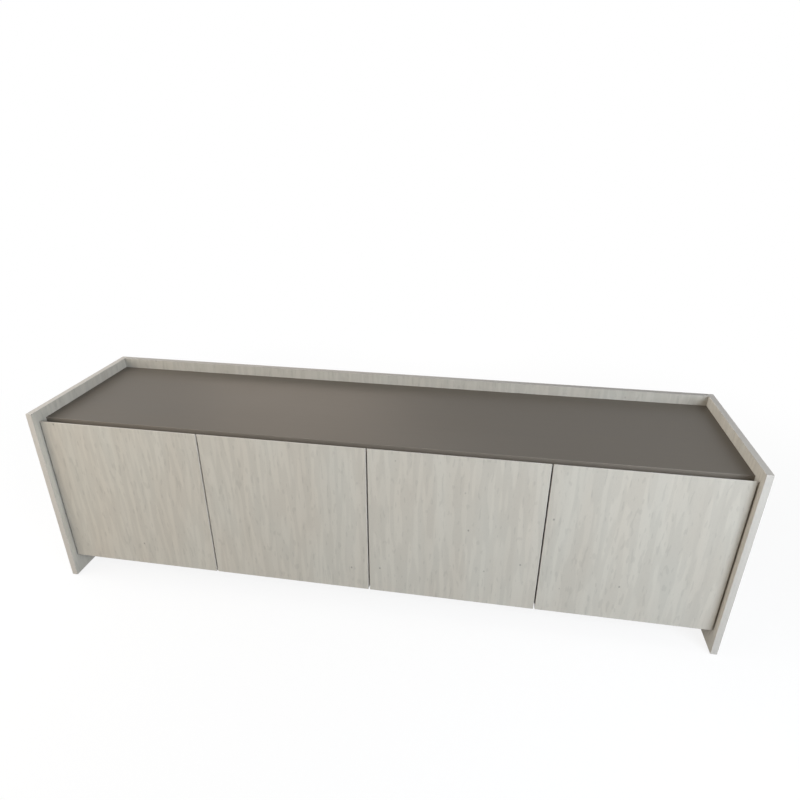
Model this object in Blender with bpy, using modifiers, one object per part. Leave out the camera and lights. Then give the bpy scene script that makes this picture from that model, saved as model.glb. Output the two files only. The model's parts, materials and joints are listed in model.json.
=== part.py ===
"""A long, low media cabinet with four flush doors on concealed hinges.

Metres, +Z up, the front towards -Y, the origin on the floor under the middle of the cabinet.
Side panels stand on the floor and rise above the top, which is set down between them and an upstand.
Each pair of doors closes one bay: the outer doors hang on the side panels, the inner ones on the partition.
"""

import math

import bmesh
import bpy
from mathutils import Matrix, Vector

OBJECT_NAME = "media_cabinet"

# Overall sizes
LENGTH = 2.000
DEPTH = 0.495
HEIGHT = 0.588

# Boards
BOARD = 0.018
BOARD_EDGE = 0.0006
RIM_HEIGHT = 0.0325
UPSTAND_HEIGHT = 0.100
BACK_THICKNESS = 0.003
BACK_EDGE = 0.0002
BACK_SIDE_PLAY = 0.0006
FIT = 0.0003

# Doors
DOOR_THICKNESS = 0.018
DOOR_EDGE = 0.001
DOOR_SETBACK = 0.0203
DOOR_BOTTOM = 0.0705
DOOR_RISE = 0.001
DOOR_HANG = 0.002
GRIP_FLAT = 0.003
FINGER_GAP = 0.0132

# Hinges: cup in the door, arm and plate on the carcass
HINGE_INSET = 0.090
AXIS_FROM_EDGE = 0.010
AXIS_FROM_BACK = 0.011
SWING_CLEARANCE = 0.0004
CUP_BORE_RADIUS = 0.0175
CUP_BORE_DEPTH = 0.0155
CUP_FROM_EDGE = 0.0035
CUP_WALL = 0.0008
CUP_RIM_WIDTH = 0.0018
CUP_RIM_THICKNESS = 0.0012
EAR_RADIUS = 0.0065
PIN_RADIUS = 0.00125
KNUCKLE_WALL = 0.00125
ARM_THICKNESS = 0.003
ARM_HEIGHT = 0.011
ARM_CLEARANCE = 0.003
ARM_END = 0.002
PLATE_LENGTH = 0.036
PLATE_SETBACK = 0.006
PLATE_HEIGHT = 0.0066
PLATE_WIDTH = 0.012
WING_SPAN = 0.046
WING_LENGTH = 0.016
WING_THICKNESS = 0.0025

# Catches where two doors meet
STRIKE_THICKNESS = 0.0015
STRIKE_WIDTH = 0.020
STRIKE_HEIGHT = 0.011
STRIKE_FROM_EDGE = 0.004
CATCH_BODY_DEPTH = 0.030
CATCH_BODY_HEIGHT = 0.014
CATCH_BODY_LAP = 0.004
CATCH_HEAD_HEIGHT = 0.009
CATCH_EDGE = 0.0008
STRIKE_EDGE = 0.0003

# Shelves and their pins
SHELF_HEIGHT = 0.318
SHELF_FRONT_SETBACK = 0.032
SHELF_BACK_GAP = 0.032
SHELF_SIDE_PLAY = 0.0008
SHELF_PIN_RADIUS = 0.0025
SHELF_PIN_SEAT = 0.0075
SHELF_PIN_REACH = 0.009
SHELF_PIN_INSET = 0.045

# Cable holes
CABLE_HOLE_RADIUS = 0.030
CABLE_HOLE_HEIGHT = 0.185
GROMMET_WALL = 0.0025
GROMMET_FLANGE = 0.005
GROMMET_FLANGE_THICKNESS = 0.002
GROMMET_LENGTH = 0.012

# Feet
GLIDE_RADIUS = 0.007
GLIDE_THICKNESS = 0.0025
GLIDE_INSET = 0.035
LEG_RADIUS = 0.018
LEG_FOOT_RADIUS = 0.026
LEG_FOOT_HEIGHT = 0.012
LEG_PLATE_RADIUS = 0.030
LEG_PLATE_HEIGHT = 0.005

# Facets of round pieces
CUP_FACETS = 32
PIN_FACETS = 12
KNUCKLE_FACETS = 14
HOLE_FACETS = 16
ROUND_FACETS = 32
EDGE_SEGMENTS = 2

# Places that follow from these sizes
FRONT = -DEPTH / 2
BACK = DEPTH / 2
INNER_X = LENGTH / 2 - BOARD
TOP_SURFACE = HEIGHT - RIM_HEIGHT
TOP_UNDERSIDE = TOP_SURFACE - BOARD
UPSTAND_FRONT = BACK - BOARD
CARCASS_BACK = UPSTAND_FRONT - FIT
DOOR_TOP = TOP_SURFACE + DOOR_RISE
DOOR_FRONT = FRONT + DOOR_SETBACK
DOOR_BACK = DOOR_FRONT + DOOR_THICKNESS
TOP_FRONT = DOOR_BACK + FINGER_GAP
BOTTOM_UNDERSIDE = DOOR_BOTTOM + DOOR_HANG
BOTTOM_SURFACE = BOTTOM_UNDERSIDE + BOARD
AXIS_FROM_FRONT = DOOR_THICKNESS - AXIS_FROM_BACK
AXIS_Y = DOOR_BACK - AXIS_FROM_BACK


def swing_reach(depth):
    """How far from the axis a door's rounded corner lies, at this depth from the axis."""
    return math.hypot(AXIS_FROM_EDGE - DOOR_EDGE, depth - DOOR_EDGE) + DOOR_EDGE


# Two doors hung back to back both swing into the gap between them, so it takes twice their overhang.
DOOR_GAP = 2 * (swing_reach(AXIS_FROM_FRONT) - AXIS_FROM_EDGE) + SWING_CLEARANCE
CARCASS_FRONT = DOOR_BACK + swing_reach(AXIS_FROM_BACK) - AXIS_FROM_BACK + SWING_CLEARANCE
DOOR_PITCH = (2 * INNER_X - DOOR_GAP) / 4
DOOR_WIDTH = DOOR_PITCH - DOOR_GAP
HINGE_HEIGHTS = {"lower": DOOR_BOTTOM + HINGE_INSET, "upper": DOOR_TOP - HINGE_INSET}

# Where the carcass faces that carry the hinges lie from the axis, towards the door's free end
SIDE_FACE = -(AXIS_FROM_EDGE + DOOR_GAP)
PARTITION_FACE = BOARD / 2 - AXIS_FROM_EDGE - DOOR_GAP / 2

# Colour, roughness and metallic value of each finish
FINISHES = {
    "whitewashed_wood": ((0.56, 0.54, 0.49), 0.55, 0.0),
    "taupe_laminate": ((0.14, 0.125, 0.105), 0.50, 0.0),
    "carcass_white": ((0.62, 0.60, 0.56), 0.55, 0.0),
    "hardboard": ((0.60, 0.58, 0.53), 0.70, 0.0),
    "nickel_steel": ((0.62, 0.61, 0.59), 0.32, 1.0),
    "zinc": ((0.50, 0.50, 0.50), 0.45, 1.0),
    "grey_plastic": ((0.30, 0.30, 0.29), 0.50, 0.0),
    "black_plastic": ((0.03, 0.03, 0.03), 0.45, 0.0),
}


def new_collection(name):
    collection = bpy.data.collections.new(name)
    bpy.context.scene.collection.children.link(collection)
    return collection


def clear_scene():
    for obj in list(bpy.data.objects):
        bpy.data.objects.remove(obj, do_unlink=True)


clear_scene()
PARTS = new_collection(OBJECT_NAME)
CUTTERS = new_collection("cutters")


def finish_of(name, finish):
    """A Principled material of this piece's own, in one of the finishes above."""
    colour, roughness, metallic = FINISHES[finish]
    material = bpy.data.materials.new(f"{name}_{finish}")
    material.use_nodes = True
    shader = material.node_tree.nodes["Principled BSDF"]
    shader.inputs["Base Color"].default_value = (*colour, 1.0)
    shader.inputs["Roughness"].default_value = roughness
    shader.inputs["Metallic"].default_value = metallic
    return material


def mesh_from(bm, name):
    mesh = bpy.data.meshes.new(name)
    bm.to_mesh(mesh)
    bm.free()
    return mesh


def box_mesh(name, low, high):
    """A box between two corners, measured from the object's origin."""
    low, high = Vector(low), Vector(high)
    bm = bmesh.new()
    bmesh.ops.create_cube(bm, size=1.0)
    bmesh.ops.scale(bm, vec=high - low, verts=bm.verts)
    bmesh.ops.translate(bm, vec=(low + high) / 2, verts=bm.verts)
    return mesh_from(bm, name)


def rod_mesh(name, radius, length, facets, top_radius=None):
    """A rod or a cone frustum along Z, centred on the object's origin."""
    bm = bmesh.new()
    bmesh.ops.create_cone(
        bm,
        cap_ends=True,
        segments=facets,
        radius1=radius,
        radius2=radius if top_radius is None else top_radius,
        depth=length,
    )
    return mesh_from(bm, name)


def smooth_round_faces(mesh):
    mesh.shade_smooth()
    mesh.set_sharp_from_angle(angle=math.radians(35))


def part(name, mesh, finish, location=(0, 0, 0), rotation=(0, 0, 0), axis=None):
    """One piece of the cabinet. A piece that moves hangs on the empty at its axis."""
    obj = bpy.data.objects.new(name, mesh)
    obj.location = location
    obj.rotation_euler = rotation
    if axis is not None:
        obj.parent = axis
        obj.location = Vector(location) - axis.location
    PARTS.objects.link(obj)
    if not mesh.materials:
        mesh.materials.append(None)
    obj.material_slots[0].link = "OBJECT"
    obj.material_slots[0].material = finish_of(name, finish)
    return obj


def helper(name, mesh, location=(0, 0, 0), rotation=(0, 0, 0)):
    obj = bpy.data.objects.new(name, mesh)
    obj.location = location
    obj.rotation_euler = rotation
    obj.hide_render = True
    obj.display_type = "WIRE"
    CUTTERS.objects.link(obj)
    return obj


def round_edges(obj, width):
    bevel = obj.modifiers.new("rounded_edges", "BEVEL")
    bevel.width = width
    bevel.segments = EDGE_SEGMENTS


def boolean(obj, operation, other):
    modifier = obj.modifiers.new(f"{operation.lower()}_{other.name}", "BOOLEAN")
    modifier.operation = operation
    modifier.solver = "EXACT"
    modifier.object = other


def board(name, low, high, finish, edge=BOARD_EDGE, axis=None):
    """A board between two corners in the cabinet's frame, with its edges lightly rounded."""
    low, high = Vector(low), Vector(high)
    middle = (low + high) / 2
    obj = part(name, box_mesh(name, low - middle, high - middle), finish, middle, axis=axis)
    round_edges(obj, edge)
    return obj


def turned(name, profile, facets):
    """A helper turned about Z from (radius, height) points that run down its outer side."""
    mesh = bpy.data.meshes.new(name)
    points = [(radius, 0, height) for radius, height in profile]
    mesh.from_pydata(points, [(i, i + 1) for i in range(len(points) - 1)], [])
    obj = helper(name, mesh)
    screw = obj.modifiers.new("turned", "SCREW")
    screw.steps = facets
    screw.render_steps = facets
    screw.use_merge_vertices = True
    screw.merge_threshold = 0.00001
    return obj


def closed_ring(profile):
    return [*profile, profile[0]]


def finished_mesh(obj, name):
    """The helper's mesh with its modifiers applied, welded and facing out. The helper is removed."""
    bpy.context.view_layer.update()
    graph = bpy.context.evaluated_depsgraph_get()
    mesh = bpy.data.meshes.new_from_object(obj.evaluated_get(graph))
    mesh.name = name
    bm = bmesh.new()
    bm.from_mesh(mesh)
    bmesh.ops.remove_doubles(bm, verts=bm.verts, dist=0.000005)
    bmesh.ops.recalc_face_normals(bm, faces=bm.faces)
    bm.to_mesh(mesh)
    bm.free()
    mesh.transform(obj.matrix_world)
    smooth_round_faces(mesh)
    bpy.data.objects.remove(obj, do_unlink=True)
    return mesh


def remove_helpers(helpers):
    for obj in helpers:
        bpy.data.objects.remove(obj, do_unlink=True)


def build_carcass():
    """Sides, top, bottom, partition and upstand, with blind holes for the shelf pins."""
    foot = GLIDE_THICKNESS + FIT
    boards = {
        "left_side_panel": board(
            "left_side_panel", (-LENGTH / 2, FRONT, foot), (-INNER_X, BACK, HEIGHT), "whitewashed_wood"
        ),
        "right_side_panel": board(
            "right_side_panel", (INNER_X, FRONT, foot), (LENGTH / 2, BACK, HEIGHT), "whitewashed_wood"
        ),
        "centre_partition": board(
            "centre_partition",
            (-BOARD / 2, CARCASS_FRONT, BOTTOM_SURFACE + FIT),
            (BOARD / 2, CARCASS_BACK, TOP_UNDERSIDE - FIT),
            "carcass_white",
        ),
    }
    span = INNER_X - FIT
    board("top_panel", (-span, TOP_FRONT, TOP_UNDERSIDE), (span, CARCASS_BACK, TOP_SURFACE), "taupe_laminate")
    board(
        "bottom_panel",
        (-span, CARCASS_FRONT, BOTTOM_UNDERSIDE),
        (span, CARCASS_BACK, BOTTOM_SURFACE),
        "carcass_white",
    )
    board(
        "back_upstand",
        (-span, UPSTAND_FRONT, HEIGHT - UPSTAND_HEIGHT),
        (span, BACK, HEIGHT),
        "whitewashed_wood",
    )
    return boards


def build_shelves(boards):
    """A shelf in each bay on four pins, whose blind holes go into the boards on both sides of the bay."""
    front = CARCASS_FRONT + SHELF_FRONT_SETBACK
    back = CARCASS_BACK - SHELF_BACK_GAP
    pin_height = SHELF_HEIGHT - FIT - SHELF_PIN_RADIUS
    pin_length = SHELF_PIN_SEAT + SHELF_PIN_REACH
    pin_mesh = rod_mesh("shelf_pin", SHELF_PIN_RADIUS, pin_length, HOLE_FACETS)
    smooth_round_faces(pin_mesh)
    hole_depth = SHELF_PIN_SEAT + FIT
    pin_places = {"front": front + SHELF_PIN_INSET, "rear": back - SHELF_PIN_INSET}
    for side, sign in (("left", -1), ("right", 1)):
        inner, outer = BOARD / 2, INNER_X
        walls = (
            ("inner", boards["centre_partition"], sign * inner, sign),
            ("outer", boards[f"{side}_side_panel"], sign * outer, -sign),
        )
        ends = sorted((sign * (inner + SHELF_SIDE_PLAY), sign * (outer - SHELF_SIDE_PLAY)))
        board(
            f"{side}_shelf",
            (ends[0], front, SHELF_HEIGHT),
            (ends[1], back, SHELF_HEIGHT + BOARD),
            "carcass_white",
        )
        for wall, carrier, face, into_bay in walls:
            for end, y in pin_places.items():
                name = f"{side}_shelf_pin_{wall}_{end}"
                middle = face + into_bay * (SHELF_PIN_REACH - SHELF_PIN_SEAT) / 2
                part(name, pin_mesh, "nickel_steel", (middle, y, pin_height), (0, math.pi / 2, 0))
                hole = helper(
                    f"hole_{name}",
                    rod_mesh(f"hole_{name}", SHELF_PIN_RADIUS + FIT, 2 * hole_depth, HOLE_FACETS),
                    (face, y, pin_height),
                    (0, math.pi / 2, 0),
                )
                boolean(carrier, "DIFFERENCE", hole)


def grommet_mesh():
    """A flanged liner: the flange lies on the back panel's rear face and the sleeve goes through it."""
    sleeve = CABLE_HOLE_RADIUS - FIT
    bore = sleeve - GROMMET_WALL
    flange = CABLE_HOLE_RADIUS + GROMMET_FLANGE
    top = FIT + GROMMET_FLANGE_THICKNESS
    profile = [(bore, top), (flange, top), (flange, FIT), (sleeve, FIT), (sleeve, top - GROMMET_LENGTH)]
    profile.append((bore, top - GROMMET_LENGTH))
    return finished_mesh(turned("grommet", closed_ring(profile), ROUND_FACETS), "cable_grommet")


def build_backs():
    """Thin panels on the rear edges of bottom and partition, under the upstand, each with a lined cable hole."""
    rear = UPSTAND_FRONT + BACK_THICKNESS
    liner = grommet_mesh()
    for side, sign in (("left", -1), ("right", 1)):
        ends = sorted((sign * BACK_SIDE_PLAY, sign * (INNER_X - BACK_SIDE_PLAY)))
        panel = board(
            f"{side}_back_panel",
            (ends[0], UPSTAND_FRONT, BOTTOM_UNDERSIDE),
            (ends[1], rear, HEIGHT - UPSTAND_HEIGHT - FIT),
            "hardboard",
            edge=BACK_EDGE,
        )
        centre = (sign * (BOARD / 2 + INNER_X) / 2, rear, CABLE_HOLE_HEIGHT)
        hole = helper(
            f"{side}_cable_hole",
            rod_mesh(f"{side}_cable_hole", CABLE_HOLE_RADIUS, 4 * BACK_THICKNESS, ROUND_FACETS),
            centre,
            (math.pi / 2, 0, 0),
        )
        boolean(panel, "DIFFERENCE", hole)
        part(f"{side}_cable_grommet", liner, "black_plastic", centre, (-math.pi / 2, 0, 0))


def build_feet():
    """Nailed glides under the side panels and a turned leg under the middle of the bottom panel."""
    glide = rod_mesh("floor_glide", GLIDE_RADIUS, GLIDE_THICKNESS, HOLE_FACETS)
    smooth_round_faces(glide)
    for side, sign in (("left", -1), ("right", 1)):
        for end, y in (("front", FRONT + GLIDE_INSET), ("rear", BACK - GLIDE_INSET)):
            place = (sign * (INNER_X + BOARD / 2), y, GLIDE_THICKNESS / 2)
            part(f"{side}_{end}_glide", glide, "grey_plastic", place)
    top = BOTTOM_UNDERSIDE - FIT
    under_plate = top - LEG_PLATE_HEIGHT
    profile = [
        (0, top),
        (LEG_PLATE_RADIUS, top),
        (LEG_PLATE_RADIUS, under_plate),
        (LEG_RADIUS, under_plate),
        (LEG_RADIUS, LEG_FOOT_HEIGHT),
        (LEG_FOOT_RADIUS, LEG_FOOT_HEIGHT),
        (LEG_FOOT_RADIUS, 0),
        (0, 0),
    ]
    part("centre_leg", finished_mesh(turned("leg", profile, ROUND_FACETS), "centre_leg"), "black_plastic")


def hinge_cup_mesh():
    """A cup with two screw ears and its pivot pin, from the axis: X to the free end, Y inward, Z up."""
    outer = CUP_BORE_RADIUS - FIT
    inner = outer - CUP_WALL
    rim = CUP_BORE_RADIUS + CUP_RIM_WIDTH
    seat = AXIS_FROM_BACK + FIT
    mouth = seat + CUP_RIM_THICKNESS
    bottom = AXIS_FROM_BACK - CUP_BORE_DEPTH + FIT
    floor = bottom + CUP_WALL
    profile = [
        (0, floor),
        (inner, floor),
        (inner, mouth),
        (rim, mouth),
        (rim, seat),
        (outer, seat),
        (outer, bottom),
        (0, bottom),
    ]
    cup = turned("cup", profile, CUP_FACETS)
    centre = CUP_FROM_EDGE + CUP_BORE_RADIUS - AXIS_FROM_EDGE
    ear_offset = inner + EAR_RADIUS + FIT
    ears = [
        helper(
            f"ear_{sign}",
            rod_mesh("ear", EAR_RADIUS, CUP_RIM_THICKNESS, HOLE_FACETS),
            (0, sign * ear_offset, seat + CUP_RIM_THICKNESS / 2),
        )
        for sign in (-1, 1)
    ]
    pin = helper(
        "pin",
        rod_mesh("pin", PIN_RADIUS, 2 * outer, PIN_FACETS),
        (-centre, 0, 0),
        (math.pi / 2, 0, 0),
    )
    wall_middle = helper(
        "wall_middle", rod_mesh("wall_middle", (inner + outer) / 2, 2 * CUP_BORE_DEPTH, CUP_FACETS)
    )
    boolean(pin, "INTERSECT", wall_middle)
    for other in (*ears, pin):
        boolean(cup, "UNION", other)
    mesh = finished_mesh(cup, "hinge_cup")
    remove_helpers([*ears, pin, wall_middle])
    mesh.transform(Matrix.Translation((centre, 0, 0)) @ Matrix.Rotation(-math.pi / 2, 4, "X"))
    return mesh


def arm_outline(tail):
    """The arm's outline in plan: a knuckle round the axis, a crank out of the cup and a tail on the plate.

    The crank's two bends clear the cup's rim when the door is open and the door's corner as it turns.
    """
    half = ARM_THICKNESS / 2
    knuckle = PIN_RADIUS + FIT + KNUCKLE_WALL
    leg = AXIS_FROM_BACK + FIT + CUP_RIM_THICKNESS + ARM_CLEARANCE + half
    cross = swing_reach(AXIS_FROM_BACK) + ARM_CLEARANCE + half
    end = cross + PLATE_SETBACK + PLATE_LENGTH + ARM_END
    opening = math.asin(half / knuckle)
    arc = [opening + (2 * math.pi - 2 * opening) * i / KNUCKLE_FACETS for i in range(KNUCKLE_FACETS + 1)]
    return [
        *[(knuckle * math.cos(a), knuckle * math.sin(a)) for a in arc],
        (leg + half, -half),
        (leg + half, cross + half),
        (tail + half, cross + half),
        (tail + half, end),
        (tail - half, end),
        (tail - half, cross - half),
        (leg - half, cross - half),
        (leg - half, half),
    ]


def circle(radius, facets):
    turns = [2 * math.pi * i / facets for i in range(facets)]
    return [(radius * math.cos(a), radius * math.sin(a)) for a in turns]


def extruded_mesh(name, outlines, height):
    """Flat outlines, the first around the others, extruded both ways from the plane."""
    curve = bpy.data.curves.new(name, "CURVE")
    curve.dimensions = "2D"
    curve.fill_mode = "BOTH"
    curve.extrude = height / 2
    for outline in outlines:
        spline = curve.splines.new("POLY")
        spline.points.add(len(outline) - 1)
        for point, (x, y) in zip(spline.points, outline):
            point.co = (x, y, 0, 1)
        spline.use_cyclic_u = True
    return finished_mesh(helper(name, curve), name)


def tail_place(face):
    """Middle of an arm's tail, on the plate that stands on a carcass face."""
    return face + FIT + PLATE_HEIGHT + FIT + ARM_THICKNESS / 2


def hinge_arm_mesh(name, face):
    bore = circle(PIN_RADIUS + FIT, HOLE_FACETS)
    return extruded_mesh(name, [arm_outline(tail_place(face)), bore], ARM_HEIGHT)


def hinge_plate_mesh(name, face):
    """A rib that carries the arm's tail, joined to two wings that are screwed to the carcass."""
    start = swing_reach(AXIS_FROM_BACK) + ARM_CLEARANCE + ARM_THICKNESS / 2 + PLATE_SETBACK
    foot = face + FIT
    rib = helper(
        "rib",
        box_mesh(
            "rib",
            (foot, start, -PLATE_WIDTH / 2),
            (foot + PLATE_HEIGHT, start + PLATE_LENGTH, PLATE_WIDTH / 2),
        ),
    )
    wing_start = start + (PLATE_LENGTH - WING_LENGTH) / 2
    wings = helper(
        "wings",
        box_mesh(
            "wings",
            (foot, wing_start, -WING_SPAN / 2),
            (foot + WING_THICKNESS, wing_start + WING_LENGTH, WING_SPAN / 2),
        ),
    )
    boolean(rib, "UNION", wings)
    mesh = finished_mesh(rib, name)
    remove_helpers([wings])
    return mesh


def cut_grip(mesh):
    """Cuts a door's rear top edge back at 45 degrees, so that fingertips reach in behind a narrow flat."""
    bm = bmesh.new()
    bm.from_mesh(mesh)
    top = max(vert.co.z for vert in bm.verts) - FIT
    rear = max(vert.co.y for vert in bm.verts) - FIT
    edges = [edge for edge in bm.edges if all(vert.co.z > top and vert.co.y > rear for vert in edge.verts)]
    bmesh.ops.bevel(bm, geom=edges, offset=DOOR_THICKNESS - GRIP_FLAT, segments=1, affect="EDGES")
    bm.to_mesh(mesh)
    bm.free()


def build_door(name, left_edge, hinged_left, meshes):
    """A door panel on two hinges. The cups are sunk in the panel, the arms and plates stay on the carcass."""
    right_edge = left_edge + DOOR_WIDTH
    towards_free = 1 if hinged_left else -1
    hinge_edge = left_edge if hinged_left else right_edge
    free_edge = right_edge if hinged_left else left_edge
    axis = bpy.data.objects.new(f"{name}_axis", None)
    axis.location = (hinge_edge + towards_free * AXIS_FROM_EDGE, AXIS_Y, 0)
    PARTS.objects.link(axis)
    turn = (0, 0 if hinged_left else math.pi, 0)
    panel = board(
        f"{name}_panel",
        (left_edge, DOOR_FRONT, DOOR_BOTTOM),
        (right_edge, DOOR_BACK, DOOR_TOP),
        "whitewashed_wood",
        edge=DOOR_EDGE,
        axis=axis,
    )
    cut_grip(panel.data)
    cup_x = hinge_edge + towards_free * (CUP_FROM_EDGE + CUP_BORE_RADIUS)
    for level, z in HINGE_HEIGHTS.items():
        bore = helper(
            f"{name}_{level}_bore",
            rod_mesh(f"{name}_{level}_bore", CUP_BORE_RADIUS, 2 * CUP_BORE_DEPTH, CUP_FACETS),
            (cup_x, DOOR_BACK, z),
            (math.pi / 2, 0, 0),
        )
        boolean(panel, "DIFFERENCE", bore)
        place = (axis.location.x, AXIS_Y, z)
        part(f"{name}_{level}_hinge_cup", meshes["cup"], "nickel_steel", place, turn, axis)
        part(f"{name}_{level}_hinge_arm", meshes["arm"], "nickel_steel", place, turn)
        part(f"{name}_{level}_hinge_plate", meshes["plate"], "zinc", place, turn)
    strike_middle = free_edge - towards_free * (STRIKE_FROM_EDGE + STRIKE_WIDTH / 2)
    strike_z = TOP_UNDERSIDE - FIT - CATCH_BODY_HEIGHT / 2
    board(
        f"{name}_strike_plate",
        (strike_middle - STRIKE_WIDTH / 2, DOOR_BACK + FIT, strike_z - STRIKE_HEIGHT / 2),
        (strike_middle + STRIKE_WIDTH / 2, DOOR_BACK + FIT + STRIKE_THICKNESS, strike_z + STRIKE_HEIGHT / 2),
        "zinc",
        edge=STRIKE_EDGE,
        axis=axis,
    )


def build_doors():
    """Four equal doors; the outer pair hangs on the side panels and the inner pair on the partition."""
    cup = hinge_cup_mesh()
    on_side = {
        "cup": cup,
        "arm": hinge_arm_mesh("side_hinge_arm", SIDE_FACE),
        "plate": hinge_plate_mesh("side_hinge_plate", SIDE_FACE),
    }
    on_partition = {
        "cup": cup,
        "arm": hinge_arm_mesh("partition_hinge_arm", PARTITION_FACE),
        "plate": hinge_plate_mesh("partition_hinge_plate", PARTITION_FACE),
    }
    first_edge = -INNER_X + DOOR_GAP
    doors = (
        ("left_outer_door", True, on_side),
        ("left_inner_door", False, on_partition),
        ("right_inner_door", True, on_partition),
        ("right_outer_door", False, on_side),
    )
    for index, (name, hinged_left, meshes) in enumerate(doors):
        build_door(name, first_edge + index * DOOR_PITCH, hinged_left, meshes)


def build_catches():
    """A double magnetic catch under the top at each pair's meeting edges, its heads against the strikes."""
    head_front = DOOR_BACK + FIT + STRIKE_THICKNESS + FIT
    body_front = TOP_FRONT + FIT
    body_top = TOP_UNDERSIDE - FIT
    body_bottom = body_top - CATCH_BODY_HEIGHT
    head_middle = (body_top + body_bottom) / 2
    head_near = DOOR_GAP / 2 + STRIKE_FROM_EDGE
    head_far = head_near + STRIKE_WIDTH
    half_width = head_far + CATCH_BODY_LAP
    for side, sign in (("left", -1), ("right", 1)):
        seam = sign * DOOR_PITCH
        body = board(
            f"{side}_magnetic_catch",
            (seam - half_width, body_front, body_bottom),
            (seam + half_width, body_front + CATCH_BODY_DEPTH, body_top),
            "grey_plastic",
            edge=CATCH_EDGE,
        )
        for end in (-1, 1):
            near, far = sorted((end * head_near, end * head_far))
            head = helper(
                f"{side}_catch_head_{end}",
                box_mesh(
                    f"{side}_catch_head_{end}",
                    (seam + near, head_front, head_middle - CATCH_HEAD_HEIGHT / 2),
                    (seam + far, body_front + CATCH_BODY_DEPTH / 2, head_middle + CATCH_HEAD_HEIGHT / 2),
                ),
            )
            boolean(body, "UNION", head)


def main():
    boards = build_carcass()
    build_shelves(boards)
    build_backs()
    build_feet()
    build_doors()
    build_catches()


main()
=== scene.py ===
# %% [markdown]
# # A long media cabinet with four flush doors
#
# The real thing is a two-metre cabinet of 18 mm boards. Two side panels stand on the floor and rise a
# little above the top, which is set down between them like the bottom of a tray. Four plain doors without
# handles close the front. This lesson dresses its solids: every board, hinge and foot gets its finish, and
# the small things that a joiner screws on at the end are worked out as surfaces with numpy.
#
# The solids come first. They are measured once here, because the looks must not make the object larger.

# %% Load the solids
import json
import math

import bmesh
import bpy
import numpy as np
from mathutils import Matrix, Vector


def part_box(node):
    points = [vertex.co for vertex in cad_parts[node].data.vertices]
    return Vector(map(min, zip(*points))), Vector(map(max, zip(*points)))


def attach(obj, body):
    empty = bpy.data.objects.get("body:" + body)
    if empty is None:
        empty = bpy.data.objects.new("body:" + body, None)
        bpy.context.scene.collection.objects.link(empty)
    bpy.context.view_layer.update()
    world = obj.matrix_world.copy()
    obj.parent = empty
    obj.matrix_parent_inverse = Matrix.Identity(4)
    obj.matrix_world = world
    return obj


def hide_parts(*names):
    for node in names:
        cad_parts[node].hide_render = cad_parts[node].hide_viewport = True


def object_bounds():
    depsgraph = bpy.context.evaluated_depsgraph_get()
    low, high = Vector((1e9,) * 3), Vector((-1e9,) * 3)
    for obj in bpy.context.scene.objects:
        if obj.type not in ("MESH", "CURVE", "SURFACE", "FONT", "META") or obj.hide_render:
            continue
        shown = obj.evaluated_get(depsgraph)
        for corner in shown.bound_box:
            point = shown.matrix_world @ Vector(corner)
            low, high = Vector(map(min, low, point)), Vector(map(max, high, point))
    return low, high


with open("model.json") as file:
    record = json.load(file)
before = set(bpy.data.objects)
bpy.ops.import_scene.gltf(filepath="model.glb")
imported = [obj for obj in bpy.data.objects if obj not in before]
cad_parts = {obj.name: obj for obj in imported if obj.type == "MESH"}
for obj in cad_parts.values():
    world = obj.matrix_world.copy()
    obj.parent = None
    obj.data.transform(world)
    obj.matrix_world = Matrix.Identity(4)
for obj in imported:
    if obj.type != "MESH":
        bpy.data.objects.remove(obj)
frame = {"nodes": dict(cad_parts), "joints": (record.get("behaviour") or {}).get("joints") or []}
solid_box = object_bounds()
size = solid_box[1] - solid_box[0]
print(f"{size.x:.3f} x {size.y:.3f} x {size.z:.3f} m")

# %% [markdown]
# ## The camera
#
# A photograph fixes its own camera: the edges of a box of known size leave only one place to stand. One
# could turn the camera by hand until it looks right, but here its place, turn and lens were solved from
# the cabinet's edges, so the picture and the solids agree to a fraction of a pixel. The small shift
# stands for a picture that was cropped a little off its middle.

# %% Place the camera
CAMERA_PLACE = (0.3175, -1.6142, 1.3317)
CAMERA_TURN = (63.808, -0.041, 9.794)
CAMERA_LENS = 27.108
CAMERA_SHIFT = (0.00637, 0.02922)
SENSOR_WIDTH = 36.0

camera_data = bpy.data.cameras.new("photo_camera")
camera_data.sensor_width = SENSOR_WIDTH
camera_data.lens = CAMERA_LENS
camera_data.shift_x, camera_data.shift_y = CAMERA_SHIFT
camera = bpy.data.objects.new("photo_camera", camera_data)
camera.location = CAMERA_PLACE
camera.rotation_euler = [math.radians(angle) for angle in CAMERA_TURN]
bpy.context.scene.collection.objects.link(camera)
bpy.context.scene.camera = camera
bpy.context.scene.view_settings.view_transform = "Standard"
print("camera at", CAMERA_PLACE)

# %% [markdown]
# ## Sockets that can be added and multiplied
#
# Every finish below is a small sum: a colour, times one plus a little grain, minus a little dirt. Written
# as shader nodes such a sum is long and hard to read. A class that wraps one socket and knows `+`, `-` and
# `*` lets Python write it as a sum again, and each operator adds its Math node behind the scenes.

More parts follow.
